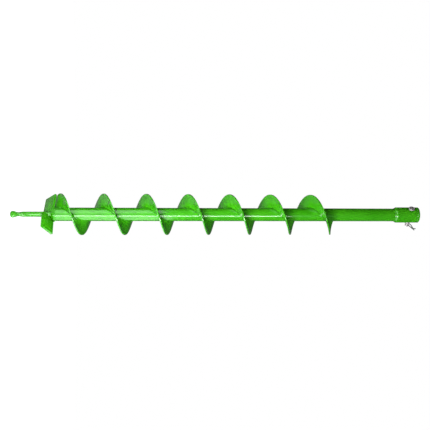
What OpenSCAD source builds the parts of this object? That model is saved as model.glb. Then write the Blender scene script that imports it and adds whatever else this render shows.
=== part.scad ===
// Soil auger bit: a right-hand flighted shaft with two cutters and a fishtail
// pilot at the bottom, and a pinned drive coupler at the top.
// Millimetres. The Z axis is the shaft's axis, +Z up. The origin is the centre
// of the coupler's mouth, so the whole auger hangs below it.

/* [Overall] */
// Length from the coupler's mouth to the tip of the pilot
overall_len = 799; // [719:10:999]

/* [Shaft] */
// Outside diameter of the shaft tube
tube_od = 25.4; // [24:0.1:26]
// Wall thickness of the shaft tube
tube_wall = 2.5; // [2:0.1:3]
// Height of the tube's lower end above the pilot's tip
tube_foot = 80.5; // [79:0.5:81]

/* [Flights] */
// Outside diameter over the flights
flight_od = 79; // [70:1:100]
// Rise of the flights in one turn
flight_pitch = 80.7; // [76:0.1:86]
// Thickness of the flight plate
flight_t = 2.5; // [2:0.1:4]
// Number of flight sections that make a whole turn
whole_flights = 6; // [4:1:6]
// Height of the start of the flights above the pilot's tip
flight_foot = 78.9; // [78.5:0.1:80]
// Direction in which the flights start
flight_start_angle = 78; // [72:1:90]
// Turn of the short top section, measured at its rim
top_flight_turn = 240; // [180:2:260]
// How much further the top section reaches at its root than at its rim
top_flight_rake = 38; // [10:1:45]

/* [Cutters] */
// Diameter swept by the cutters' outer corners
cutter_sweep = 85; // [80:1:88]
// Size of a cutter plate along its slope
cutter_w = 29; // [26:1:31]
// Thickness of a cutter plate
cutter_t = 4; // [3:0.5:5]
// Slope of a cutter plate
cutter_slope = 40; // [36:1:42]
// Height of the cutters' under side above the pilot's tip, at the shaft's axis
cutter_foot = 68; // [67:0.5:68.5]
// Directions in which the two cutters point
cutter_angles = [278, 106];
// Rise of each cutter from its root to its outer end
cutter_leans = [-1.5, 7.5];

/* [Pilot] */
// Diameter of the pilot rod
pilot_d = 9.8; // [9:0.1:11]
// Width of the fishtail
fishtail_w = 13.6; // [12:0.1:15]
// Length of the forged and twisted point
fishtail_len = 29; // [26:1:32]
// Twist of the point from the rod to its tip
fishtail_twist = 220; // [150:5:240]

/* [Coupler] */
// Outside diameter of the coupler
coupler_od = 30.5; // [30:0.1:32]
// Length of the coupler
coupler_len = 49; // [46:1:60]
// Diameter of the bore for the drive shaft
bore_d = 20; // [19:0.1:21]
// Depth of the bore for the drive shaft
bore_depth = 36; // [34:1:40]
// Distance of the clevis pin's axis from the mouth
pin_depth = 16; // [15:1:18]

/* [Clevis pin and clip] */
// Diameter of the clevis pin
pin_d = 8; // [7.5:0.1:8.5]
// Length of the clevis pin under its head
pin_len = 43; // [42:0.5:48]
// Diameter of the clevis pin's head
pin_head_d = 12; // [11:0.5:14]
// Diameter of the clip's wire
wire_d = 1.8; // [1.6:0.1:2]
// Lean of the clip's straight leg away from the shaft's axis
clip_lean = 62; // [50:1:80]

/* [Hidden] */
$fn = 64;

// Gap between pieces that fit over each other and are then welded
fit_gap = 0.05;
// Overshoot of every cutting tool
cut = 1;

// Heights of the main features
tip_z = -overall_len;
tube_foot_z = tip_z + tube_foot;
tube_top_z = -bore_depth;
flight_start_z = tip_z + flight_foot;
cutter_z = tip_z + cutter_foot;
pin_z = -pin_depth;

// Shaft and pilot
tube_r = tube_od / 2;
tube_bore_r = tube_r - tube_wall;
pilot_r = pilot_d / 2;
plug_len = 20;
nose_len = 6;

// Flights
steps_per_turn = 48;
flight_r = flight_od / 2;
root_r = tube_r / cos(180 / steps_per_turn) + fit_gap;
flights_end_angle = flight_start_angle + 360 * whole_flights;
top_flight_end_angle = flights_end_angle + top_flight_turn;
root_weld_leg = 1.6;
seam_weld_w = 5;
seam_weld_h = 1;

// Cutters
cutter_bevel_w = 4;
cutter_edge_t = 1;
cutter_root = 3.8;
cutter_reach = sqrt(pow(cutter_sweep / 2, 2) - pow(cutter_w * cos(cutter_slope) / 2, 2));
cutter_weld_leg = 2.4;
cutter_weld_len = 8;
cutter_weld_h = 7;
cutter_weld_drop = 3;

// Coupler
coupler_r = coupler_od / 2;
coupler_chamfer = [1.8, 2.6];
mouth_chamfer = 0.8;
bore_relief_d = bore_d + 1;
bore_relief_len = 12;
cross_hole_d = pin_d + 0.2;

// Clevis pin and clip: the clip's straight leg crosses the pin at its hole
pin_head_h = 2.5;
pin_head_gap = 0.1;
pin_tip_chamfer = 0.8;
clip_hole_from_tip = 3.5;
pin_tip_x = -(coupler_r + pin_head_gap) + pin_len;
clip_x = pin_tip_x - clip_hole_from_tip;
clip_leg_ahead = 21;
clip_leg_behind = 8;
bend_step = 12;
// The clip from the straight leg's free end to the wavy leg's free end, as
// straights [length] and bends [radius, turn to the left]
clip_run = [
    [clip_leg_ahead + clip_leg_behind],
    [3.4, -240],
    [1.8, 80],
    [18, -54],
    [2.5, 79],
    [4]
];

// Height of the flights' middle surface at a turn angle
function helix_z(angle) =
    flight_start_z + flight_pitch * (angle - flight_start_angle) / 360;

// Thickness of the flight plate measured along the shaft, at a radius
function axial_t(r) = flight_t * sqrt(1 + pow(flight_pitch / (2 * PI * r), 2));

function quad(a, b, c, d) = [[a, b, c], [a, c, d]];

// A strip that follows the flights. Each station across it, from the root
// outwards, is [radius, low height, high height, first angle, last angle],
// with the heights counted from the flights' middle surface.
module helical_strip(stations, steps) {
    n = len(stations);
    function place(s, i, h) =
        let (angle = s[3] + (s[4] - s[3]) * i / steps)
        [s[0] * cos(angle), s[0] * sin(angle), helix_z(angle) + s[1 + h]];
    function at(i, j, h) = (i * n + j) * 2 + h;
    points = [for (i = [0:steps], s = stations, h = [0, 1]) place(s, i, h)];
    walls = [for (i = [0:steps - 1]) each concat(
        quad(at(i, 0, 0), at(i + 1, 0, 0), at(i + 1, 0, 1), at(i, 0, 1)),
        quad(at(i, n - 1, 0), at(i, n - 1, 1), at(i + 1, n - 1, 1), at(i + 1, n - 1, 0))
    )];
    skins = [for (i = [0:steps - 1], j = [0:n - 2]) each concat(
        quad(at(i, j, 0), at(i, j + 1, 0), at(i + 1, j + 1, 0), at(i + 1, j, 0)),
        quad(at(i, j, 1), at(i + 1, j, 1), at(i + 1, j + 1, 1), at(i, j + 1, 1))
    )];
    ends = [for (j = [0:n - 2]) each concat(
        quad(at(0, j, 0), at(0, j, 1), at(0, j + 1, 1), at(0, j + 1, 0)),
        quad(at(steps, j, 0), at(steps, j + 1, 0), at(steps, j + 1, 1), at(steps, j, 1))
    )];
    polyhedron(points = points, faces = concat(walls, skins, ends), convexity = 10);
}

// One flight section between two turn angles. rake is how much further it
// reaches at its root than at its rim.
module flight_section(from, to, rake = 0) {
    spans = rake == 0 ? 1 : 4;
    stations = [for (j = [0:spans])
        let (r = root_r + (flight_r - root_r) * j / spans, t = axial_t(r))
        [r, -t / 2, t / 2, from, to + rake * (1 - j / spans)]];
    helical_strip(stations, round((to - from) * steps_per_turn / 360));
}

// One of the whole-turn sections, counted from 1 at the bottom
module whole_flight(number) {
    from = flight_start_angle + 360 * (number - 1);
    color("limegreen") flight_section(from, from + 360);
}

module top_flight() {
    color("limegreen")
    flight_section(flights_end_angle, top_flight_end_angle, top_flight_rake);
}

// Flat beads on the upper side of the seams between the flight sections
module flight_seam_welds() {
    radii = [root_r + root_weld_leg + 1, flight_r * 0.6, flight_r - 1];
    color("forestgreen")
    for (k = [1:whole_flights]) {
        seam = flight_start_angle + 360 * k;
        helical_strip([for (r = radii)
            let (t = axial_t(r), half = atan(seam_weld_w / 2 / r))
            [r, t / 2, t / 2 + seam_weld_h, seam - half, seam + half]], 2);
    }
}

// The fillet along the upper side of the flights' root
module flight_root_weld() {
    from = flight_start_angle + 4;
    to = top_flight_end_angle + top_flight_rake - 6;
    toe_r = root_r + root_weld_leg;
    root_t = axial_t(root_r) / 2;
    toe_t = axial_t(toe_r) / 2;
    color("forestgreen")
    helical_strip([
        [root_r, root_t, root_t + root_weld_leg, from, to],
        [toe_r, toe_t, toe_t + 0.4, from, to]
    ], round((to - from) * steps_per_turn / 360));
}

// Places its children in a cutter's own frame: +X runs out along the cutter,
// +Y up its slope, and Z = 0 is its under side
module at_cutter(number) {
    translate([0, 0, cutter_z])
    rotate([0, 0, cutter_angles[number - 1]])
    rotate([0, -cutter_leans[number - 1], 0])
    rotate([cutter_slope, 0, 0])
    children();
}

// A cutter plate with a ground leading edge, notched round the pilot rod and
// the foot of the tube
module cutter_blade(number) {
    half = cutter_w / 2;
    color("green")
    difference() {
        at_cutter(number)
        translate([cutter_root, 0, 0])
        rotate([90, 0, 90])
        linear_extrude(cutter_reach - cutter_root)
        polygon([
            [-half, 0], [half, 0], [half, cutter_t],
            [-half + cutter_bevel_w, cutter_t], [-half, cutter_edge_t]
        ]);
        translate([0, 0, tip_z])
        cylinder(h = overall_len / 2, r = pilot_r + fit_gap);
        translate([0, 0, tube_foot_z - fit_gap])
        cylinder(h = cutter_w, r = tube_r + fit_gap);
    }
}

// The weld between the tube's foot and the high edge of a cutter
module cutter_weld(number) {
    color("forestgreen")
    intersection() {
        translate([0, 0, tube_foot_z - cutter_weld_drop])
        difference() {
            cylinder(h = cutter_weld_h, r = tube_r + cutter_weld_leg);
            translate([0, 0, -cut])
            cylinder(h = cutter_weld_h + 2 * cut, r = tube_r + fit_gap);
        }
        at_cutter(number)
        translate([cutter_root, cutter_w / 2 - cutter_weld_len, cutter_t])
        cube([cutter_reach, 2 * cutter_weld_len, cutter_weld_h]);
    }
}

module shaft_tube() {
    color("limegreen")
    translate([0, 0, tube_foot_z])
    difference() {
        cylinder(h = tube_top_z - tube_foot_z, r = tube_r);
        translate([0, 0, -cut])
        cylinder(h = tube_top_z - tube_foot_z + 2 * cut, r = tube_bore_r);
    }
}

// A plug in the foot of the tube, bored for the pilot rod
module end_hub() {
    color("limegreen")
    translate([0, 0, tube_foot_z])
    difference() {
        cylinder(h = plug_len, r = tube_bore_r - fit_gap);
        translate([0, 0, -cut])
        cylinder(h = plug_len + 2 * cut, r = pilot_r + fit_gap);
    }
}

// A raised bead round the shaft, centred on a height
module ring_bead(z, r, rise, width) {
    translate([0, 0, z])
    rotate_extrude()
    polygon([
        [r, -width / 2], [r + rise * 0.7, -width / 3], [r + rise, 0],
        [r + rise * 0.7, width / 3], [r, width / 2]
    ]);
}

module hub_weld() {
    color("forestgreen")
    ring_bead(tube_foot_z + 1.5, tube_r + fit_gap, 0.8, 2.6);
}

// The built-up weld between the tube's foot and the pilot rod, cut away where
// the cutters stand
module pilot_weld() {
    color("forestgreen")
    difference() {
        translate([0, 0, tube_foot_z - fit_gap])
        rotate_extrude()
        polygon([
            [pilot_r + fit_gap, 0], [tube_r - 0.3, 0], [tube_r, -0.4],
            [tube_r - 0.4, -1.2], [pilot_r + 1, -nose_len], [pilot_r + fit_gap, -nose_len]
        ]);
        for (number = [1, 2])
            at_cutter(number)
            translate([cutter_root - fit_gap, -cutter_w, -2 * cutter_w])
            cube([cutter_w, 2 * cutter_w, 2 * cutter_w + cutter_t + fit_gap]);
    }
}

// The forged point: round at the rod, flat and wide at the fishtail, twisted
// on the way, with an arched cutting end
module fishtail() {
    // Direction that the wide side of the tip faces
    fishtail_facing = -40;
    rings = 28;
    sides = 20;
    arch_len = 4.6;
    flat_t = 4.2;
    rod_r = pilot_r - fit_gap;
    function spread(u) = pow(u, 1.6);
    function arch(z) = z > arch_len ? 1 : sqrt(1.1 - pow(1 - z / arch_len, 2)) / sqrt(1.1);
    function flatness(u) = 1 - 0.35 * u;
    function powered(v, e) = sign(v) * pow(abs(v), e);
    points = [for (i = [0:rings], k = [0:sides - 1])
        let (
            u = sin(90 * i / rings),
            z = fishtail_len * (1 - u),
            w = (rod_r + (fishtail_w / 2 - rod_r) * spread(u)) * arch(z),
            h = (rod_r + (flat_t / 2 - rod_r) * u) * (0.35 + 0.65 * arch(z)),
            turn = fishtail_facing + fishtail_twist * (z - arch_len) / fishtail_len,
            side = 360 * k / sides,
            x = w * powered(cos(side), flatness(u)),
            y = h * powered(sin(side), flatness(u))
        )
        [x * cos(turn) - y * sin(turn), x * sin(turn) + y * cos(turn), tip_z + z]];
    function at(i, k) = i * sides + k % sides;
    walls = [for (i = [0:rings - 1], k = [0:sides - 1])
        each quad(at(i, k), at(i, k + 1), at(i + 1, k + 1), at(i + 1, k))];
    rod_end = [for (k = [0:sides - 1]) at(0, sides - 1 - k)];
    tip_end = [for (k = [0:sides - 1]) at(rings, k)];
    polyhedron(points = points, faces = concat(walls, [rod_end, tip_end]), convexity = 4);
}

module pilot_point() {
    color("limegreen")
    union() {
        fishtail();
        translate([0, 0, tip_z + fishtail_len - cut])
        cylinder(h = tube_foot_z + plug_len - tip_z - fishtail_len, r = pilot_r);
    }
}

// The drive coupler. The relief in its bore keeps the cross hole's burr off
// the drive shaft, and parts the bore into two lands.
module coupler_sleeve() {
    relief_top = pin_z + bore_relief_len / 2;
    relief_foot = pin_z - bore_relief_len / 2;
    color("green")
    difference() {
        rotate_extrude()
        polygon([
            [tube_r + fit_gap, -coupler_len],
            [coupler_r - coupler_chamfer[0], -coupler_len],
            [coupler_r, -coupler_len + coupler_chamfer[1]],
            [coupler_r, -mouth_chamfer],
            [coupler_r - mouth_chamfer, 0],
            [bore_d / 2, 0],
            [bore_d / 2, relief_top],
            [bore_relief_d / 2, relief_top],
            [bore_relief_d / 2, relief_foot],
            [bore_d / 2, relief_foot],
            [bore_d / 2, tube_top_z + fit_gap],
            [tube_r + fit_gap, tube_top_z + fit_gap]
        ]);
        translate([-coupler_od, 0, pin_z])
        rotate([0, 90, 0])
        cylinder(h = 2 * coupler_od, d = cross_hole_d);
    }
}

module coupler_weld() {
    color("forestgreen")
    translate([0, 0, -coupler_len])
    rotate_extrude()
    polygon([
        [tube_r + fit_gap, -2], [tube_r + 0.5, -1.2],
        [coupler_r - coupler_chamfer[0], -fit_gap], [tube_r + fit_gap, -fit_gap]
    ]);
}

module clevis_pin() {
    color("silver")
    translate([-(coupler_r + pin_head_gap), 0, pin_z])
    difference() {
        rotate([0, 90, 0])
        rotate_extrude()
        polygon([
            [0, -pin_head_h], [pin_head_d / 2 - 0.9, -pin_head_h],
            [pin_head_d / 2, -pin_head_h + 0.9], [pin_head_d / 2, 0],
            [pin_d / 2, 0], [pin_d / 2, pin_len - pin_tip_chamfer],
            [pin_d / 2 - pin_tip_chamfer, pin_len], [0, pin_len]
        ]);
        translate([pin_len - clip_hole_from_tip, 0, 0])
        rotate([clip_lean, 0, 0])
        translate([0, 0, -pin_d])
        cylinder(h = 2 * pin_d, d = wire_d + 0.2);
    }
}

// The places along a bent wire that starts at the origin along +X, as
// [x, y, heading]: the end of each straight, and short steps round each bend
function stretch(p, piece) =
    len(piece) == 1
    ? [[p[0] + piece[0] * cos(p[2]), p[1] + piece[0] * sin(p[2]), p[2]]]
    : let (steps = ceil(abs(piece[1]) / bend_step), side = sign(piece[1]))
        [for (k = [1:steps]) let (h = p[2] + piece[1] * k / steps) [
            p[0] + side * piece[0] * (sin(h) - sin(p[2])),
            p[1] - side * piece[0] * (cos(h) - cos(p[2])),
            h
        ]];
function walk(run, p, i = 0) =
    i == len(run) ? [] :
    let (s = stretch(p, run[i])) concat(s, walk(run, s[len(s) - 1], i + 1));

module bent_wire(run) {
    sides = 12;
    start = [0, 0, 0];
    path = concat([start], walk(run, start));
    last = len(path) - 1;
    function at(i, k) = i * sides + k % sides;
    points = [for (p = path, k = [0:sides - 1])
        let (out = wire_d / 2 * cos(360 * k / sides), up = wire_d / 2 * sin(360 * k / sides))
        [p[0] - out * sin(p[2]), p[1] + out * cos(p[2]), up]];
    walls = [for (i = [0:last - 1], k = [0:sides - 1])
        each quad(at(i, k), at(i + 1, k), at(i + 1, k + 1), at(i, k + 1))];
    first_end = [for (k = [0:sides - 1]) at(0, k)];
    last_end = [for (k = [0:sides - 1]) at(last, sides - 1 - k)];
    polyhedron(points = points, faces = concat(walls, [first_end, last_end]), convexity = 6);
}

// The R-clip lies square to the pin: its straight leg goes through the pin's
// hole, and its wavy leg passes round the pin
module r_clip() {
    color("gray")
    translate([clip_x, 0, pin_z])
    rotate([clip_lean, 0, 0])
    translate([0, 0, clip_leg_ahead])
    rotate([0, 90, 0])
    rotate([180, 0, 0])
    bent_wire(clip_run);
}

shaft_tube();
end_hub();
hub_weld();
pilot_point();
pilot_weld();
cutter_blade(1);  // cutter_blade_1
cutter_blade(2);  // cutter_blade_2
cutter_weld(1);  // cutter_weld_1
cutter_weld(2);  // cutter_weld_2
whole_flight(1);  // flight_1
whole_flight(2);  // flight_2
whole_flight(3);  // flight_3
whole_flight(4);  // flight_4
whole_flight(5);  // flight_5
whole_flight(6);  // flight_6
top_flight();  // flight_7
flight_seam_welds();
flight_root_weld();
coupler_sleeve();
coupler_weld();
clevis_pin();
r_clip();
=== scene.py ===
"""Looks of the soil auger: a gloss green flighted drill bit with a zinc clevis pin and an R-clip.

Everything is in metres in the CAD's frame: the Z axis is the shaft's axis, Z = 0 is the coupler's
mouth, and the pilot's tip stands on the floor below it. Angles are in degrees.
"""

import math

import bpy
from mathutils import Matrix, Vector, noise


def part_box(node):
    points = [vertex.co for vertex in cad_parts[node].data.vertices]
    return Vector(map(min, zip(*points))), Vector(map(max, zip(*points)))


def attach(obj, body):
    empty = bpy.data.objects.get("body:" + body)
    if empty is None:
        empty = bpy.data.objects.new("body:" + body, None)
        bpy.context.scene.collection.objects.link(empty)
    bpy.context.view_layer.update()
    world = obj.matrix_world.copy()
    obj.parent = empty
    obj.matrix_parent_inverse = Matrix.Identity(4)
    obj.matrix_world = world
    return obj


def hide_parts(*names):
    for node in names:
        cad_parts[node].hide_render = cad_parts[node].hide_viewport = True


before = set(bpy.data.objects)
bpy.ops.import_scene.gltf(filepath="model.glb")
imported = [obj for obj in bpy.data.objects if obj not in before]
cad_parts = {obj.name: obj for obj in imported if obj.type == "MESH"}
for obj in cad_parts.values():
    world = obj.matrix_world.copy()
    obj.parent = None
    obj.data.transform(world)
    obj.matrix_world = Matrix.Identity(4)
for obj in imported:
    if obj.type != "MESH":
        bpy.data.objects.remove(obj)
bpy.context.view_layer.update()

MM = 0.001
UP = Vector((0, 0, 1))
ACROSS = Vector((1, 0, 0))

# ---------------------------------------------------------------- dimensions
TUBE_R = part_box("shaft_tube")[1].x
TUBE_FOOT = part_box("shaft_tube")[0].z
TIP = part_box("pilot_point")[0].z
WELD_GAP = 0.05 * MM

# Flights: a right-hand helix, with its place counted in degrees of turn
FLIGHT_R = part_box("flight_2")[1].x
FLIGHT_PITCH = 80.7 * MM
FLIGHT_T = 2.5 * MM
FLIGHT_START_ANGLE = 78
FLIGHT_START_Z = TIP + 78.9 * MM
FLIGHT_ROOT_R = TUBE_R - 0.5 * MM
FLIGHT_SPANS = 9
FLIGHT_RIM_ROUND = 0.55 * MM
FLIGHT_ROOT_ROUND = 0.9 * MM
WHOLE_FLIGHTS = 6
TOP_TURN = 240
TOP_RAKE = 38
ROOT_WELD_LEG = 1.3 * MM
START_WELD_LEG = 2.2 * MM
START_WELD_END = 150
SEAM_RISE = 0.7 * MM
SEAM_HALF_W = 2.4 * MM

# Cutters
CUTTER_Z = TIP + 68 * MM
CUTTER_W = 29 * MM
CUTTER_T = 4 * MM
CUTTER_ROOT = 3.8 * MM
CUTTER_SLOPE = 40
CUTTER_ANGLES = (278, 106)
CUTTER_LEANS = (-1.5, 7.5)
CUTTER_SWEEP_R = 42.5 * MM
CUTTER_BEVEL_W = 5 * MM
CUTTER_EDGE_T = 1 * MM
CUTTER_WELD_LEG = 2.2 * MM
CUTTER_WELD_LEN = 7 * MM

# Pilot
PILOT_R = 4.9 * MM
PILOT_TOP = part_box("pilot_point")[1].z
FISHTAIL_W = 13.6 * MM
FISHTAIL_T = 4.2 * MM
FISHTAIL_LEN = 29 * MM
FISHTAIL_ARCH = 4.6 * MM
FISHTAIL_TWIST = 220
FISHTAIL_FACING = -40
NOSE_LEN = TUBE_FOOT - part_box("pilot_weld")[0].z
NOSE_LIP = 0.5 * MM
NOSE_OVERLAP = 0.4 * MM
NOSE_LUMP = 0.35 * MM

# Coupler
COUPLER_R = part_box("coupler_sleeve")[1].x
COUPLER_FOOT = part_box("coupler_sleeve")[0].z
COUPLER_CHAMFER_W = 1.8 * MM
COUPLER_CHAMFER_H = 2.6 * MM
COUPLER_GROOVE_Z = -5 * MM
COUPLER_GROOVE_D = 0.25 * MM
MOUTH_CHAMFER = 0.8 * MM
PIN_PLAY = 0.1 * MM
CLIP_PLAY = 0.1 * MM
BORE_R = 10 * MM
BORE_DEPTH = 36 * MM
RELIEF_DEPTH = 0.5 * MM
RELIEF_LEN = 12 * MM

# Clevis pin and clip
PIN_Z = (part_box("clevis_pin")[0].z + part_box("clevis_pin")[1].z) / 2
PIN_HEAD_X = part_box("clevis_pin")[0].x
PIN_TIP_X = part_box("clevis_pin")[1].x
PIN_R = 4 * MM
PIN_HEAD_R = 6 * MM
PIN_HEAD_H = 2.5 * MM
CLIP_X = (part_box("r_clip")[0].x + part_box("r_clip")[1].x) / 2
CLIP_LEAN = 62
WIRE_R = 0.9 * MM
CLIP_AHEAD = 21 * MM
CLIP_BEHIND = 8 * MM
# The clip from the straight leg's free end, as straights (length,) and bends (radius, turn)
CLIP_RUN = (
    (CLIP_AHEAD + CLIP_BEHIND,),
    (3.4 * MM, -240),
    (1.8 * MM, 80),
    (18 * MM, -54),
    (2.5 * MM, 79),
    (4 * MM,),
)

# Lights: the name, the direction from the shaft, the distance, the height, the height it is turned
# to, its width and height, its power in watts, and whether it lights and whether it shines
LIGHTS = (
    ("strip", 258, 0.5, -0.473, -0.473, (0.061, 0.647), 3.2, False, True),
    ("key", 300, 0.85, -0.60, -0.60, (1.4, 0.38), 4.4, True, True),
    ("bounce", 230, 0.5, -0.79, 1.5, (0.9, 0.5), 5.2, True, False),
    ("low", 235, 0.55, -0.76, -0.70, (0.5, 0.3), 4.6, True, False),
    ("front", 240, 1.4, -0.70, -0.60, (0.8, 0.8), 9.5, True, False),
    ("top", 325, 0.35, 0.60, -0.40, (0.4, 0.4), 3.5, True, False),
    ("sheen", 184, 0.9, -0.61, -0.61, (1.0, 0.37), 3.0, False, True),
)

# Camera
VIEW_ANGLE = 230
VIEW_DISTANCE = 1.61966
VIEW_Z = -0.65428
VIEW_YAW = 8.526
VIEW_PITCH = 0.029
VIEW_ROLL = 0.126
LENS = 70.75
SENSOR_W = 36


def radial(angle):
    """The unit vector square to the shaft at an angle."""
    a = math.radians(angle)
    return Vector((math.cos(a), math.sin(a), 0))


def helix_z(angle):
    """The height of the flights' middle surface at a turn angle."""
    return FLIGHT_START_Z + FLIGHT_PITCH * (angle - FLIGHT_START_ANGLE) / 360


def axial_t(r):
    """The thickness of the flight plate along the shaft, at a radius."""
    return FLIGHT_T * math.sqrt(1 + (FLIGHT_PITCH / (2 * math.pi * r)) ** 2)


def wobble(x, y, size):
    """A smooth, repeatable number between about -1 and 1."""
    return noise.noise(Vector((x / size, y / size, 7.3)))


# ---------------------------------------------------------------- mesh tools
def shade(obj, smooth_angle):
    """Smooth shading, with edges sharper than an angle left crisp."""
    obj.data.polygons.foreach_set("use_smooth", [True] * len(obj.data.polygons))
    obj.data.set_sharp_from_angle(angle=math.radians(smooth_angle))


def make_object(name, verts, faces, smooth_angle=35):
    mesh = bpy.data.meshes.new(name)
    mesh.from_pydata([tuple(v) for v in verts], [], faces)
    mesh.update()
    obj = bpy.data.objects.new(name, mesh)
    bpy.context.scene.collection.objects.link(obj)
    shade(obj, smooth_angle)
    return obj


def face_outwards(obj):
    """Turns every face of a closed mesh to the outside."""
    bpy.context.view_layer.objects.active = obj
    for other in bpy.context.selected_objects:
        other.select_set(False)
    obj.select_set(True)
    bpy.ops.object.mode_set(mode="EDIT")
    bpy.ops.mesh.select_all(action="SELECT")
    bpy.ops.mesh.normals_make_consistent(inside=False)
    bpy.ops.object.mode_set(mode="OBJECT")
    obj.select_set(False)


def skin(name, rings, closed=False, smooth_angle=35):
    """A solid through a list of rings of the same number of points. closed joins the last ring to
    the first; otherwise both ends are capped."""
    n = len(rings[0])
    count = len(rings)
    verts = [p for ring in rings for p in ring]
    faces = []
    for i in range(count if closed else count - 1):
        a = i * n
        b = (i + 1) % count * n
        for k in range(n):
            m = (k + 1) % n
            faces.append((a + k, b + k, b + m, a + m))
    if not closed:
        faces.append(tuple(range(n)))
        faces.append(tuple((count - 1) * n + k for k in reversed(range(n))))
    obj = make_object(name, verts, faces, smooth_angle)
    face_outwards(obj)
    return obj


def apply_modifiers(obj):
    """Replaces the mesh by what its modifiers make of it."""
    bpy.context.view_layer.update()
    graph = bpy.context.evaluated_depsgraph_get()
    mesh = bpy.data.meshes.new_from_object(obj.evaluated_get(graph))
    obj.modifiers.clear()
    obj.data = mesh


def cut_with(obj, tool):
    """Cuts tool out of obj and removes tool."""
    change = obj.modifiers.new("cut", "BOOLEAN")
    change.operation = "DIFFERENCE"
    change.solver = "MANIFOLD"
    change.object = tool
    apply_modifiers(obj)
    bpy.data.objects.remove(tool)
    shade(obj, 30)


def round_edges(obj, width, segments=3, angle=30):
    """Rounds every edge that is sharper than an angle."""
    change = obj.modifiers.new("round", "BEVEL")
    change.width = width
    change.segments = segments
    change.limit_method = "ANGLE"
    change.angle_limit = math.radians(angle)
    apply_modifiers(obj)
    shade(obj, 40)


def lathe(name, profile, segments=128, place=Matrix.Identity(4), smooth_angle=35):
    """Turns a closed outline of (radius, height) points about Z, then places it."""
    rings = []
    for i in range(segments):
        out = radial(360 * i / segments)
        rings.append([place @ (out * r + UP * z) for r, z in profile])
    return skin(name, rings, closed=True, smooth_angle=smooth_angle)


def turned(name, profile, segments, place):
    """Turns an outline about Z as a stack of rings with flat ends, then places it."""
    rings = []
    for r, z in profile:
        rings.append([place @ (radial(360 * k / segments) * r + UP * z) for k in range(segments)])
    return skin(name, rings, smooth_angle=30)


def rod_between(name, start, end, r, segments=48):
    """A round bar between two points."""
    along = (end - start).normalized()
    side = along.orthogonal().normalized()
    up = along.cross(side)
    rings = []
    for p in (start, end):
        ring = []
        for k in range(segments):
            t = 2 * math.pi * k / segments
            ring.append(p + (side * math.cos(t) + up * math.sin(t)) * r)
        rings.append(ring)
    return skin(name, rings)


def arc(centre, r, start, end, steps):
    """Points (x, y) along an arc."""
    out = []
    for k in range(steps + 1):
        a = math.radians(start + (end - start) * k / steps)
        out.append((centre[0] + r * math.cos(a), centre[1] + r * math.sin(a)))
    return out


def joined(name, objects):
    """One object holding all the meshes."""
    verts = []
    faces = []
    for obj in objects:
        base = len(verts)
        verts += [v.co.copy() for v in obj.data.vertices]
        faces += [tuple(base + k for k in p.vertices) for p in obj.data.polygons]
        bpy.data.objects.remove(obj)
    return make_object(name, verts, faces, 60)


# ---------------------------------------------------------------- weld beads
def fillet_shape(steps=7):
    """A corner bead's cross-section, one unit along each of the two surfaces."""
    bulge = []
    for k in range(steps + 1):
        a = math.pi / 2 * k / steps
        bulge.append((math.cos(a) ** 1.25, math.sin(a) ** 1.25))
    return [(1, -0.2), *bulge, (-0.2, 1), (-0.2, -0.2)]


def ridge_shape(steps=9):
    """A raised bead's cross-section: one unit high, and one unit to each side."""
    bulge = []
    for k in range(steps + 1):
        a = math.pi * k / steps
        bulge.append((math.sin(a), -math.cos(a)))
    return [(-0.3, -1), *bulge, (-0.3, 1)]


def bead(name, stations, shape, ripple=2.3 * MM, depth=0.10, closed=False):
    """A weld bead. Each station is (point, first direction, second direction, distance along the
    bead), and both directions carry the bead's size. Its ripples arch forwards in the middle."""
    rings = []
    last = len(shape) - 1
    for point, a, b, along in stations:
        swell = 1 + 0.13 * wobble(along, 0.2, 9 * MM)
        ring = []
        for k, (u, v) in enumerate(shape):
            q = 2 * k / last - 1
            phase = (along + 0.9 * MM * (1 - q * q)) / ripple
            crest = abs(math.sin(math.pi * phase)) ** 0.7
            size = swell * (1 - depth + depth * crest)
            ring.append(point + (a * u + b * v) * size)
        rings.append(ring)
    return skin(name, rings, closed=closed, smooth_angle=60)


def ring_bead(name, r, z, rise, half_width, shape, up=1):
    """A bead once round the shaft."""
    count = 220
    stations = []
    for i in range(count):
        out = radial(360 * i / count)
        along = 2 * math.pi * r * i / count
        stations.append((out * r + UP * z, out * rise, UP * (half_width * up), along))
    ripple = 2 * math.pi * r / round(2 * math.pi * r / (2.3 * MM))
    return bead(name, stations, shape, ripple=ripple, closed=True)


def tapered(stations, over=3):
    """The same stations with the bead's size running out to a rounded stop at both ends."""
    out = []
    last = len(stations) - 1
    for i, (point, a, b, along) in enumerate(stations):
        near = min(i, last - i) / over
        size = math.sqrt(max(0.08, 1 - (1 - min(near, 1)) ** 2))
        out.append((point, a * size, b * size, along))
    return out


# ---------------------------------------------------------------- the shaft's lower end
def powered(value, exponent):
    """The size of a number to a power, with the number's own sign."""
    return math.copysign(abs(value) ** exponent, value)


def fishtail_ring(z, sides=48):
    """One cross-section of the forged point, z above its tip."""
    u = 1 - z / FISHTAIL_LEN
    arch = 1
    if z < FISHTAIL_ARCH:
        arch = math.sqrt((1.1 - (1 - z / FISHTAIL_ARCH) ** 2) / 1.1)
    w = (PILOT_R + (FISHTAIL_W / 2 - PILOT_R) * u ** 1.6) * arch
    h = (PILOT_R + (FISHTAIL_T / 2 - PILOT_R) * u) * (0.35 + 0.65 * arch)
    turn = FISHTAIL_FACING + FISHTAIL_TWIST * (z - FISHTAIL_ARCH) / FISHTAIL_LEN
    flat = 1 - 0.35 * u
    ring = []
    for k in range(sides):
        a = 2 * math.pi * k / sides
        x = w * powered(math.cos(a), flat)
        y = h * powered(math.sin(a), flat)
        ring.append(radial(turn) * x + radial(turn + 90) * y + UP * (TIP + z))
    return ring


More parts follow.
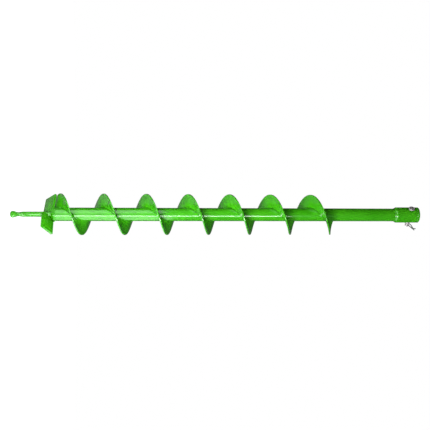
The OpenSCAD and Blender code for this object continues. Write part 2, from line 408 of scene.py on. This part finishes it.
def make_pilot():
    """The forged point and the round rod above it, as one stack of rings."""
    steps = 56
    rod_steps = 8
    sides = 48
    rings = []
    for i in range(steps):
        rings.append(fishtail_ring(FISHTAIL_LEN * (1 - math.cos(math.pi / 2 * i / steps)), sides))
    rod_foot = TIP + FISHTAIL_LEN
    turn = FISHTAIL_FACING + FISHTAIL_TWIST * (FISHTAIL_LEN - FISHTAIL_ARCH) / FISHTAIL_LEN
    for i in range(rod_steps + 1):
        z = rod_foot + (PILOT_TOP - rod_foot) * i / rod_steps
        rings.append([radial(turn + 360 * k / sides) * PILOT_R + UP * z for k in range(sides)])
    return skin("pilot_forging", rings, smooth_angle=50)


def make_nose():
    """The built-up weld from the tube's foot down to the pilot rod: a lumpy cone."""
    segments = 160
    steps = 14
    top = TUBE_FOOT - WELD_GAP
    rings = []
    for i in range(segments):
        angle = 360 * i / segments
        out = radial(angle)
        ring = [
            out * (PILOT_R - NOSE_OVERLAP) + UP * top,
            out * (TUBE_R - NOSE_OVERLAP) + UP * top,
        ]
        for k in range(1, steps + 1):
            s = k / steps
            lump = NOSE_LUMP * wobble(out.x * 14, out.y * 14 + 5 * s, 5) * math.sin(math.pi * s)
            r = TUBE_R + (PILOT_R + NOSE_LIP - TUBE_R) * s ** 1.5 + lump
            z = top - NOSE_LIP - (NOSE_LEN - NOSE_LIP) * s
            ring.append(out * r + UP * z)
        ring.append(out * (PILOT_R - NOSE_OVERLAP) + UP * (top - NOSE_LEN - 0.1 * MM))
        rings.append(ring)
    return skin("pilot_bead", rings, closed=True, smooth_angle=50)


def cutter_place(number):
    """The frame of a cutter: +X out along it, +Y up its slope, Z = 0 its under side."""
    return (
        Matrix.Translation(UP * CUTTER_Z)
        @ Matrix.Rotation(math.radians(CUTTER_ANGLES[number - 1]), 4, "Z")
        @ Matrix.Rotation(math.radians(-CUTTER_LEANS[number - 1]), 4, "Y")
        @ Matrix.Rotation(math.radians(CUTTER_SLOPE), 4, "X")
    )


def make_cutter(number):
    """A flat plate with a ground leading edge, notched round the pilot rod and the tube."""
    half = CUTTER_W / 2
    reach = math.sqrt(CUTTER_SWEEP_R ** 2 - (half * math.cos(math.radians(CUTTER_SLOPE))) ** 2)
    section = [
        (-half, 0),
        (half, 0),
        (half, CUTTER_T),
        (-half + CUTTER_BEVEL_W, CUTTER_T),
        (-half, CUTTER_EDGE_T),
    ]
    place = cutter_place(number)
    rings = [[place @ Vector((x, y, z)) for y, z in section] for x in (CUTTER_ROOT, reach)]
    obj = skin("cutter_plate_%d" % number, rings)
    foot = UP * (TUBE_FOOT - WELD_GAP)
    cut_with(obj, rod_between("rod_notch", UP * TIP, foot + UP * CUTTER_W, PILOT_R + WELD_GAP))
    cut_with(obj, rod_between("tube_notch", foot, foot + UP * CUTTER_W, TUBE_R + WELD_GAP, 96))
    round_edges(obj, 0.3 * MM)
    return obj


def make_cutter_weld(number):
    """The short bead where the high edge of a cutter meets the tube's foot."""
    place = cutter_place(number)
    home = place.inverted()
    normal = (place.to_3x3() @ UP).normalized()
    base = place @ Vector((0, 0, CUTTER_T))
    stations = []
    along = 0
    previous = None
    for i in range(0, 181):
        out = radial(CUTTER_ANGLES[number - 1] + i / 2)
        point = out * TUBE_R
        flat_step = point - Vector((base.x, base.y, 0))
        point.z = base.z - flat_step.dot(normal) / normal.z
        local = home @ point
        inside = CUTTER_W / 2 - CUTTER_WELD_LEN < local.y < CUTTER_W / 2 + 0.6 * MM
        if local.x < CUTTER_ROOT or not inside or point.z < TUBE_FOOT - 0.8 * MM:
            continue
        away = (out - normal * out.dot(normal)).normalized()
        if previous is not None:
            along += (point - previous).length
        previous = point
        stations.append((point, away * CUTTER_WELD_LEG, UP * CUTTER_WELD_LEG, along))
    return bead("cutter_bead_%d" % number, tapered(stations, 8), fillet_shape())


# ---------------------------------------------------------------- the flights
def flight_outline():
    """The plate's cross-section as (radius, side, inset): side is 1 on the upper face and -1 on
    the lower one, and inset is how far the point lies inside that face."""
    rim = FLIGHT_R - FLIGHT_RIM_ROUND
    foot = TUBE_R + FLIGHT_ROOT_ROUND
    outline = []
    for j in range(FLIGHT_SPANS + 1):
        outline.append((FLIGHT_ROOT_R + (rim - FLIGHT_ROOT_R) * j / FLIGHT_SPANS, 1, 0))
    for side in (1, -1):
        for k in range(1, 6):
            a = math.radians(90 - 15 * k if side > 0 else 15 * k)
            across = FLIGHT_RIM_ROUND * math.cos(a)
            outline.append((rim + across, side, FLIGHT_RIM_ROUND * (1 - math.sin(a))))
    for j in range(FLIGHT_SPANS + 1):
        outline.append((rim + (foot - rim) * j / FLIGHT_SPANS, -1, 0))
    for k in range(1, 6):
        a = math.radians(90 + 17 * k)
        across = FLIGHT_ROOT_ROUND * math.cos(a)
        outline.append((foot + across, -1, FLIGHT_ROOT_ROUND * (1 - math.sin(a))))
    outline.append((FLIGHT_ROOT_R, -1, FLIGHT_ROOT_ROUND))
    return outline


def flight_ring(outline, angle_at):
    """The outline placed on the helix. angle_at(r) gives the turn angle at a radius."""
    ring = []
    for r, side, inset in outline:
        angle = angle_at(r)
        loose = max(0, (r - TUBE_R) / (FLIGHT_R - TUBE_R))
        sway = 0.30 * MM * loose * wobble(angle, 0.5, 70)
        grow = 1 - 0.006 * loose * abs(wobble(angle, 3.5, 55))
        half_t = axial_t(max(r, TUBE_R)) / 2
        z = helix_z(angle) + sway + side * (half_t - inset)
        ring.append(radial(angle) * (r * grow) + UP * z)
    return ring


def make_flight(number):
    """One section of the helix: a whole turn, or the short top one with its raked end."""
    first = FLIGHT_START_ANGLE + 360 * (number - 1)
    whole = number <= WHOLE_FLIGHTS
    last = first + (360 if whole else TOP_TURN)
    rake = 0 if whole else TOP_RAKE
    steps = round((last - first) / 2.5)
    gap = 0.05
    outline = flight_outline()
    rings = []
    for i in range(steps + 1):

        def angle_at(r):
            inwards = min(1, max(0, 1 - (r - TUBE_R) / (FLIGHT_R - TUBE_R)))
            return first + gap + (last + rake * inwards - first - 2 * gap) * i / steps

        rings.append(flight_ring(outline, angle_at))
    return skin("flight_plate_%d" % number, rings, smooth_angle=50)


def root_run(name, first, last, side, leg):
    """A bead along the flights' root between two turn angles, on the upper side (1) or the lower
    side (-1)."""
    per_degree = math.hypot(2 * math.pi * TUBE_R, FLIGHT_PITCH) / 360
    steps = round((last - first) / 1.6)
    stations = []
    for i in range(steps + 1):
        angle = first + (last - first) * i / steps
        out = radial(angle)
        point = out * TUBE_R + UP * (helix_z(angle) + side * axial_t(TUBE_R) / 2)
        along = per_degree * (angle - first)
        stations.append((point, out * leg, UP * (side * leg * 1.15), along))
    return bead(name, tapered(stations, 4), fillet_shape())


def make_root_bead():
    """The long bead on the upper side, and a heavier short one under the start of the flights."""
    last = FLIGHT_START_ANGLE + 360 * WHOLE_FLIGHTS + TOP_TURN + TOP_RAKE - 6
    upper = root_run("upper", FLIGHT_START_ANGLE + 4, last, 1, ROOT_WELD_LEG)
    under = root_run("under", FLIGHT_START_ANGLE + 12, START_WELD_END, -1, START_WELD_LEG)
    return joined("flight_root_bead", [upper, under])


def make_seam_beads():
    """A raised bead across the plate at each seam between two sections."""
    pieces = []
    start = TUBE_R + ROOT_WELD_LEG
    end = FLIGHT_R - 0.8 * MM
    for number in range(1, WHOLE_FLIGHTS + 1):
        angle = FLIGHT_START_ANGLE + 360 * number
        out = radial(angle)
        stations = []
        for i in range(49):
            r = start + (end - start) * i / 48
            tangent = (UP.cross(out) + UP * (FLIGHT_PITCH / (2 * math.pi * r))).normalized()
            point = out * r + UP * (helix_z(angle) + axial_t(r) / 2)
            normal = out.cross(tangent).normalized()
            stations.append((point, normal * SEAM_RISE, tangent * SEAM_HALF_W, r + number * MM))
        pieces.append(bead("seam_bead_%d" % number, tapered(stations), ridge_shape()))
    return joined("flight_seam_beads", pieces)


# ---------------------------------------------------------------- coupler, pin and clip
def make_coupler():
    """The drive socket: a turned sleeve with a relieved bore and a cross hole for the pin."""
    relief_low = PIN_Z - RELIEF_LEN / 2
    relief_top = PIN_Z + RELIEF_LEN / 2
    r = COUPLER_R
    inner = TUBE_R + WELD_GAP
    shelf = -BORE_DEPTH + WELD_GAP
    groove_half_w = 0.35 * MM
    groove_r = r - COUPLER_GROOVE_D
    chamfer_top = COUPLER_FOOT + COUPLER_CHAMFER_H
    profile = [
        (inner, COUPLER_FOOT),
        (r - COUPLER_CHAMFER_W, COUPLER_FOOT),
        (r - 0.25 * MM, chamfer_top - 0.5 * MM),
        (r, chamfer_top + 0.4 * MM),
        (r, COUPLER_GROOVE_Z - 2 * groove_half_w),
        (groove_r, COUPLER_GROOVE_Z - groove_half_w),
        (groove_r, COUPLER_GROOVE_Z + groove_half_w),
        (r, COUPLER_GROOVE_Z + 2 * groove_half_w),
    ]
    profile += arc((r - MOUTH_CHAMFER, -MOUTH_CHAMFER), MOUTH_CHAMFER, 0, 90, 6)
    profile += [
        (BORE_R + 0.3 * MM, 0),
        (BORE_R, -0.3 * MM),
        (BORE_R, relief_top),
        (BORE_R + RELIEF_DEPTH, relief_top),
        (BORE_R + RELIEF_DEPTH, relief_low),
        (BORE_R, relief_low),
        (BORE_R, shelf),
        (inner, shelf),
    ]
    obj = lathe("coupler_body", profile, 160)
    across = ACROSS * (2 * COUPLER_R)
    middle = UP * PIN_Z
    cut_with(obj, rod_between("cross_hole", middle - across, middle + across, PIN_R + PIN_PLAY))
    return obj


def make_pin():
    """The headed clevis pin along X, with the clip's hole across it."""
    under = PIN_HEAD_X + PIN_HEAD_H
    chamfer = 0.8 * MM
    fillet = 0.35 * MM
    profile = [
        (PIN_HEAD_R - 1.2 * MM, PIN_HEAD_X),
        (PIN_HEAD_R - 0.55 * MM, PIN_HEAD_X + 0.12 * MM),
        (PIN_HEAD_R - 0.12 * MM, PIN_HEAD_X + 0.55 * MM),
        (PIN_HEAD_R, PIN_HEAD_X + 1.1 * MM),
        (PIN_HEAD_R, under - 0.3 * MM),
        (PIN_HEAD_R - 0.3 * MM, under),
        (PIN_R + fillet, under),
        (PIN_R, under + fillet),
        (PIN_R, PIN_TIP_X - chamfer),
        (PIN_R - chamfer, PIN_TIP_X),
    ]
    lying = Matrix.Translation(UP * PIN_Z) @ Matrix.Rotation(math.pi / 2, 4, "Y")
    obj = turned("pin_body", profile, 96, lying)
    middle = ACROSS * CLIP_X + UP * PIN_Z
    along = clip_direction() * (2 * PIN_R)
    cut_with(obj, rod_between("clip_hole", middle - along, middle + along, WIRE_R + CLIP_PLAY, 32))
    return obj


def clip_direction():
    """The straight leg's direction, from the clip's bow to its tips."""
    return Vector((0, -math.sin(math.radians(CLIP_LEAN)), math.cos(math.radians(CLIP_LEAN))))


def clip_path():
    """Points along the clip's wire, from the straight leg's free end to the wavy leg's."""
    ahead = -clip_direction()
    side = ahead.cross(ACROSS)
    here = ACROSS * CLIP_X + UP * PIN_Z - ahead * CLIP_AHEAD
    heading = 0.0
    points = [here]
    for run in CLIP_RUN:
        if len(run) == 1:
            parts = max(1, round(run[0] / (1.5 * MM)))
            chord = run[0] / parts
            each = 0.0
        else:
            parts = max(2, round(abs(run[1]) / 5))
            each = math.radians(run[1]) / parts
            chord = 2 * run[0] * math.sin(abs(each) / 2)
        for _ in range(parts):
            heading += each / 2
            here = here + (ahead * math.cos(heading) + side * math.sin(heading)) * chord
            heading += each / 2
            points.append(here)
    return points


def make_clip():
    """A round wire along the path, with slightly domed ends."""
    points = clip_path()
    last = len(points) - 1
    sides = 20
    dome = 0.25 * MM
    rings = []
    for i, p in enumerate(points):
        way = (points[min(i + 1, last)] - points[max(i - 1, 0)]).normalized()
        across = way.cross(ACROSS).normalized()
        sizes = [(0, 1.0)]
        if i == 0:
            sizes = [(0, 0.7), (dome, 1.0)]
        elif i == last:
            sizes = [(-dome, 1.0), (0, 0.7)]
        for shift, size in sizes:
            ring = []
            for k in range(sides):
                t = 2 * math.pi * k / sides
                out = ACROSS * math.cos(t) + across * math.sin(t)
                ring.append(p + way * shift + out * (WIRE_R * size))
            rings.append(ring)
    return skin("clip_wire", rings, smooth_angle=45)


# ---------------------------------------------------------------- material tools
def colour(c):
    return (c[0], c[1], c[2], 1.0)


class Nodes:
    """A short way to build a node material."""

    def __init__(self, name):
        self.material = bpy.data.materials.new(name)
        self.material.use_nodes = True
        self.tree = self.material.node_tree
        self.shader = self.tree.nodes["Principled BSDF"]
        self.place = self.tree.nodes.new("ShaderNodeTexCoord").outputs["Object"]

    def set(self, name, value):
        self.shader.inputs[name].default_value = value

    def link(self, source, target):
        self.tree.links.new(source, target)

    def put(self, socket, value):
        if isinstance(value, bpy.types.NodeSocket):
            self.link(value, socket)
        elif isinstance(value, tuple):
            socket.default_value = colour(value)
        else:
            socket.default_value = value

    def noise(self, scale, detail=3.0, roughness=0.5, stretch=None):
        """Noise with a number of lumps per metre. stretch scales the place along X, Y and Z."""
        node = self.tree.nodes.new("ShaderNodeTexNoise")
        node.inputs["Scale"].default_value = scale
        node.inputs["Detail"].default_value = detail
        node.inputs["Roughness"].default_value = roughness
        place = self.place
        if stretch:
            scaled = self.tree.nodes.new("ShaderNodeVectorMath")
            scaled.operation = "MULTIPLY"
            scaled.inputs[1].default_value = stretch
            self.link(place, scaled.inputs[0])
            place = scaled.outputs["Vector"]
        self.link(place, node.inputs["Vector"])
        return node.outputs["Fac"]

    def span(self, value, low, high, to_low, to_high):
        node = self.tree.nodes.new("ShaderNodeMapRange")
        self.link(value, node.inputs["Value"])
        node.inputs["From Min"].default_value = low
        node.inputs["From Max"].default_value = high
        node.inputs["To Min"].default_value = to_low
        node.inputs["To Max"].default_value = to_high
        return node.outputs["Result"]

    def mix(self, amount, a, b):
        node = self.tree.nodes.new("ShaderNodeMixRGB")
        self.put(node.inputs["Fac"], amount)
        self.put(node.inputs["Color1"], a)
        self.put(node.inputs["Color2"], b)
        return node.outputs["Color"]

    def bump(self, height, strength, distance, normal=None):
        node = self.tree.nodes.new("ShaderNodeBump")
        node.inputs["Strength"].default_value = strength
        node.inputs["Distance"].default_value = distance
        self.link(height, node.inputs["Height"])
        if normal is not None:
            self.link(normal, node.inputs["Normal"])
        return node.outputs["Normal"]

    def corner_shade_mask(self, distance):
        """A painted-shade mask from ambient occlusion: about 1 in corners and grooves, and 0 on open
        surface.
        """
        node = self.tree.nodes.new("ShaderNodeAmbientOcclusion")
        node.samples = 4
        node.inputs["Distance"].default_value = distance
        return self.span(node.outputs["AO"], 0.45, 0.85, 1.0, 0.0)


def darker(c, amount):
    return tuple(v * amount for v in c)


# ---------------------------------------------------------------- materials
GREEN_DEEP = (0.038, 0.37, 0.003)
GREEN_LIGHT = (0.056, 0.44, 0.006)


def paint(name, deep, light, roughness=0.30, peel=0.03, runs=0.03, corner_shade_depth=0.45):
    """Gloss enamel sprayed over steel: soft clouds of film thickness, fine specks, a trace of orange
    peel and slow runs, and painted shade in the corners and grooves, darker by corner_shade_depth."""
    n = Nodes(name)
    clouds = n.noise(26.0, 4.0, 0.55)
    fine = n.noise(240.0, 3.0, 0.6)
    specks = n.noise(1500.0, 2.0, 0.5)
    body = n.mix(n.span(clouds, 0.35, 0.65, 0.0, 1.0), deep, light)
    body = n.mix(n.span(fine, 0.30, 0.70, 0.0, 0.10), body, darker(deep, 0.55))
    body = n.mix(n.span(specks, 0.72, 0.80, 0.0, 0.25), body, darker(deep, 0.5))
    # Painted shade: an ambient occlusion mask darkens the colour in corners and grooves.
    body = n.mix(n.corner_shade_mask(0.003), body, darker(deep, corner_shade_depth))
    n.link(body, n.shader.inputs["Base Color"])
    n.link(n.span(fine, 0.3, 0.7, roughness - 0.04, roughness + 0.06), n.shader.inputs["Roughness"])
    skin_normal = n.bump(n.noise(620.0, 2.0, 0.5), peel, 0.0005)
    film = n.bump(n.noise(70.0, 2.0, 0.5), runs, 0.0010, skin_normal)
    n.link(film, n.shader.inputs["Normal"])
    n.link(film, n.shader.inputs["Coat Normal"])
    n.set("Specular IOR Level", 0.2)
    n.set("Coat Weight", 1.0)
    n.set("Coat Roughness", 0.07)
    n.set("Coat IOR", 1.5)
    return n.material


def zinc():
    """Bright zinc plate over turned steel, with faint lathe rings and a slight pink cast."""
    n = Nodes("zinc_plate")
    spangle = n.noise(420.0, 3.0, 0.55)
    cast = n.noise(60.0, 3.0, 0.5)
    rings = n.noise(500.0, 2.0, 0.6, stretch=(6.0, 0.6, 0.6))
    body = n.mix(n.span(cast, 0.3, 0.7, 0.0, 1.0), (0.66, 0.60, 0.62), (0.80, 0.74, 0.76))
    body = n.mix(n.span(spangle, 0.35, 0.65, 0.0, 0.35), body, (0.48, 0.46, 0.49))
    n.link(body, n.shader.inputs["Base Color"])
    n.set("Metallic", 0.6)
    n.link(n.span(spangle, 0.3, 0.7, 0.34, 0.50), n.shader.inputs["Roughness"])
    n.link(n.bump(rings, 0.12, 0.0002), n.shader.inputs["Normal"])
    return n.material


def spring_steel():
    """Drawn wire, darker than the pin, with fine drawing marks."""
    n = Nodes("spring_wire")
    marks = n.noise(900.0, 4.0, 0.6)
    body = n.mix(n.span(marks, 0.3, 0.7, 0.0, 1.0), (0.17, 0.17, 0.18), (0.40, 0.40, 0.41))
    n.link(body, n.shader.inputs["Base Color"])
    n.set("Metallic", 1.0)
    n.link(n.span(marks, 0.3, 0.7, 0.26, 0.42), n.shader.inputs["Roughness"])
    n.link(n.bump(marks, 0.15, 0.0002), n.shader.inputs["Normal"])
    return n.material


def dress(obj, material):
    obj.data.materials.clear()
    obj.data.materials.append(material)


def dress_node(name, material):
    """Puts a material on a CAD node that is shown as it is."""
    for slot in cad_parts[name].material_slots:
        slot.material = material


def fit_piece(obj, body, material, node):
    """Gives a piece its material and body, and lets it stand for a CAD node."""
    dress(obj, material)
    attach(obj, body)
    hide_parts(node)


def build_lower_end(shaft_paint, cutter_paint, weld_paint):
    fit_piece(make_pilot(), "auger", shaft_paint, "pilot_point")
    fit_piece(make_nose(), "auger", weld_paint, "pilot_weld")
    hub_z = TUBE_FOOT + 1.5 * MM
    hub_bead = ring_bead("hub_bead", TUBE_R, hub_z, 0.8 * MM, 1.4 * MM, ridge_shape())
    fit_piece(hub_bead, "auger", weld_paint, "hub_weld")
    for number in (1, 2):
        blade = "cutter_blade_%d" % number
        weld = "cutter_weld_%d" % number
        fit_piece(make_cutter(number), "auger", cutter_paint, blade)
        fit_piece(make_cutter_weld(number), "auger", weld_paint, weld)


def build_flights(flight_paint, weld_paint):
    for number in range(1, WHOLE_FLIGHTS + 2):
        fit_piece(make_flight(number), "auger", flight_paint, "flight_%d" % number)
    fit_piece(make_root_bead(), "auger", weld_paint, "flight_root_weld")
    fit_piece(make_seam_beads(), "auger", weld_paint, "flight_seam_welds")


def build_upper_end(coupler_paint, weld_paint):
    rise = COUPLER_R - COUPLER_CHAMFER_W - TUBE_R
    bead_len = 1.9 * MM
    weld = ring_bead("coupler_bead", TUBE_R, COUPLER_FOOT, rise, bead_len, fillet_shape(), -1)
    fit_piece(weld, "auger", weld_paint, "coupler_weld")
    fit_piece(make_coupler(), "auger", coupler_paint, "coupler_sleeve")
    fit_piece(make_pin(), "pin", zinc(), "clevis_pin")
    fit_piece(make_clip(), "clip", spring_steel(), "r_clip")


def build_auger():
    shaft_paint = paint("shaft_enamel", GREEN_DEEP, GREEN_LIGHT)
    flight_paint = paint("flight_enamel", GREEN_DEEP, GREEN_LIGHT, runs=0.06)
    cutter_paint = paint("cutter_enamel", GREEN_DEEP, GREEN_LIGHT, roughness=0.26)
    # The welds get a lighter painted shade in their corners than the other enamels.
    weld_paint = paint("weld_enamel", GREEN_DEEP, GREEN_LIGHT, peel=0.08, corner_shade_depth=0.8)
    coupler_paint = paint("coupler_enamel", GREEN_DEEP, GREEN_LIGHT)
    dress_node("shaft_tube", shaft_paint)
    dress_node("end_hub", shaft_paint)
    build_lower_end(shaft_paint, cutter_paint, weld_paint)
    build_flights(flight_paint, weld_paint)
    build_upper_end(coupler_paint, weld_paint)


# ---------------------------------------------------------------- studio
def area_light(name, angle, distance, z, target_z, size, power, lights, shines):
    """A soft box at a direction and height, turned to a height on the shaft. lights is for matt
    surfaces and shines for reflections."""
    data = bpy.data.lights.new(name, "AREA")
    data.shape = "RECTANGLE"
    data.size, data.size_y = size
    data.energy = power
    obj = bpy.data.objects.new(name, data)
    bpy.context.scene.collection.objects.link(obj)
    obj.location = radial(angle) * distance + UP * z
    way = (UP * target_z - obj.location).normalized()
    obj.rotation_euler = way.to_track_quat("-Z", "Y").to_euler()
    obj.visible_camera = False
    obj.visible_diffuse = lights
    obj.visible_glossy = shines


def make_floor():
    """A pale floor under the tip, which the camera sees as white."""
    size = 6.0
    verts = [(-size, -size, TIP), (size, -size, TIP), (size, size, TIP), (-size, size, TIP)]
    obj = make_object("floor", verts, [(0, 1, 2, 3)])
    n = Nodes("pale_floor")
    grain = n.span(n.noise(3.0, 2.0), 0.3, 0.7, 0.0, 1.0)
    n.link(n.mix(grain, (0.70, 0.70, 0.70), (0.74, 0.74, 0.74)), n.shader.inputs["Base Color"])
    n.set("Roughness", 0.8)
    n.set("Emission Color", (1, 1, 1, 1))
    seen = n.tree.nodes.new("ShaderNodeLightPath").outputs["Is Camera Ray"]
    n.link(n.span(seen, 0, 1, 0.05, 1.0), n.shader.inputs["Emission Strength"])
    dress(obj, n.material)


def make_world():
    """A white backdrop behind the object as the camera sees it, and a dim room for everything
    else, brighter on the side of the lights."""
    world = bpy.data.worlds.new("studio")
    world.use_nodes = True
    bpy.context.scene.world = world
    tree = world.node_tree
    coord = tree.nodes.new("ShaderNodeTexCoord").outputs["Generated"]

    def facing(direction, low, high, to_low, to_high):
        dot = tree.nodes.new("ShaderNodeVectorMath")
        dot.operation = "DOT_PRODUCT"
        dot.inputs[1].default_value = direction
        tree.links.new(coord, dot.inputs[0])
        ramp = tree.nodes.new("ShaderNodeMapRange")
        ramp.interpolation_type = "SMOOTHSTEP"
        tree.links.new(dot.outputs["Value"], ramp.inputs["Value"])
        ramp.inputs["From Min"].default_value = low
        ramp.inputs["From Max"].default_value = high
        ramp.inputs["To Min"].default_value = to_low
        ramp.inputs["To Max"].default_value = to_high
        return ramp.outputs["Result"]

    backdrop = facing(-radial(VIEW_ANGLE), 0.80, 0.95, 0.0, 0.10)
    room = facing(radial(300), -0.6, 0.9, 0.02, 0.06)
    total = tree.nodes.new("ShaderNodeMath")
    total.operation = "ADD"
    tree.links.new(backdrop, total.inputs[0])
    tree.links.new(room, total.inputs[1])
    dim = tree.nodes.new("ShaderNodeBackground")
    tree.links.new(total.outputs["Value"], dim.inputs["Strength"])
    dim.inputs["Color"].default_value = (1, 1, 1, 1)
    seen = tree.nodes["Background"]
    seen.inputs["Color"].default_value = (1, 1, 1, 1)
    seen.inputs["Strength"].default_value = 1.0
    path = tree.nodes.new("ShaderNodeLightPath")
    mix = tree.nodes.new("ShaderNodeMixShader")
    tree.links.new(path.outputs["Is Camera Ray"], mix.inputs["Fac"])
    tree.links.new(dim.outputs["Background"], mix.inputs[1])
    tree.links.new(seen.outputs["Background"], mix.inputs[2])
    tree.links.new(mix.outputs["Shader"], tree.nodes["World Output"].inputs["Surface"])


def make_camera():
    """A camera beside the lower half of the shaft, turned a little towards the coupler and laid on
    its side, so the shaft lies across the picture with the pilot at the left."""
    yaw = math.radians(VIEW_YAW)
    pitch = math.radians(VIEW_PITCH)
    roll = math.radians(VIEW_ROLL)
    inward = -radial(VIEW_ANGLE)
    forward = inward * math.cos(yaw) + UP * math.sin(yaw) - radial(VIEW_ANGLE - 90) * math.sin(pitch)
    forward.normalize()
    right = UP * math.cos(yaw) - inward * math.sin(yaw)
    right -= forward * right.dot(forward)
    right.normalize()
    up = right.cross(forward)
    turned_right = right * math.cos(roll) + up * math.sin(roll)
    turned_up = up * math.cos(roll) - right * math.sin(roll)
    data = bpy.data.cameras.new("camera")
    data.lens = LENS
    data.sensor_width = SENSOR_W
    obj = bpy.data.objects.new("camera", data)
    bpy.context.scene.collection.objects.link(obj)
    axes = Matrix((turned_right, turned_up, -forward)).transposed()
    place = radial(VIEW_ANGLE) * VIEW_DISTANCE + UP * VIEW_Z
    obj.matrix_world = Matrix.Translation(place) @ axes.to_4x4()
    bpy.context.scene.camera = obj


def make_lights():
    for light in LIGHTS:
        area_light(*light)


build_auger()
make_camera()
make_world()
make_floor()
make_lights()
bpy.context.scene.view_settings.view_transform = "Standard"
bpy.context.scene.view_settings.look = "None"
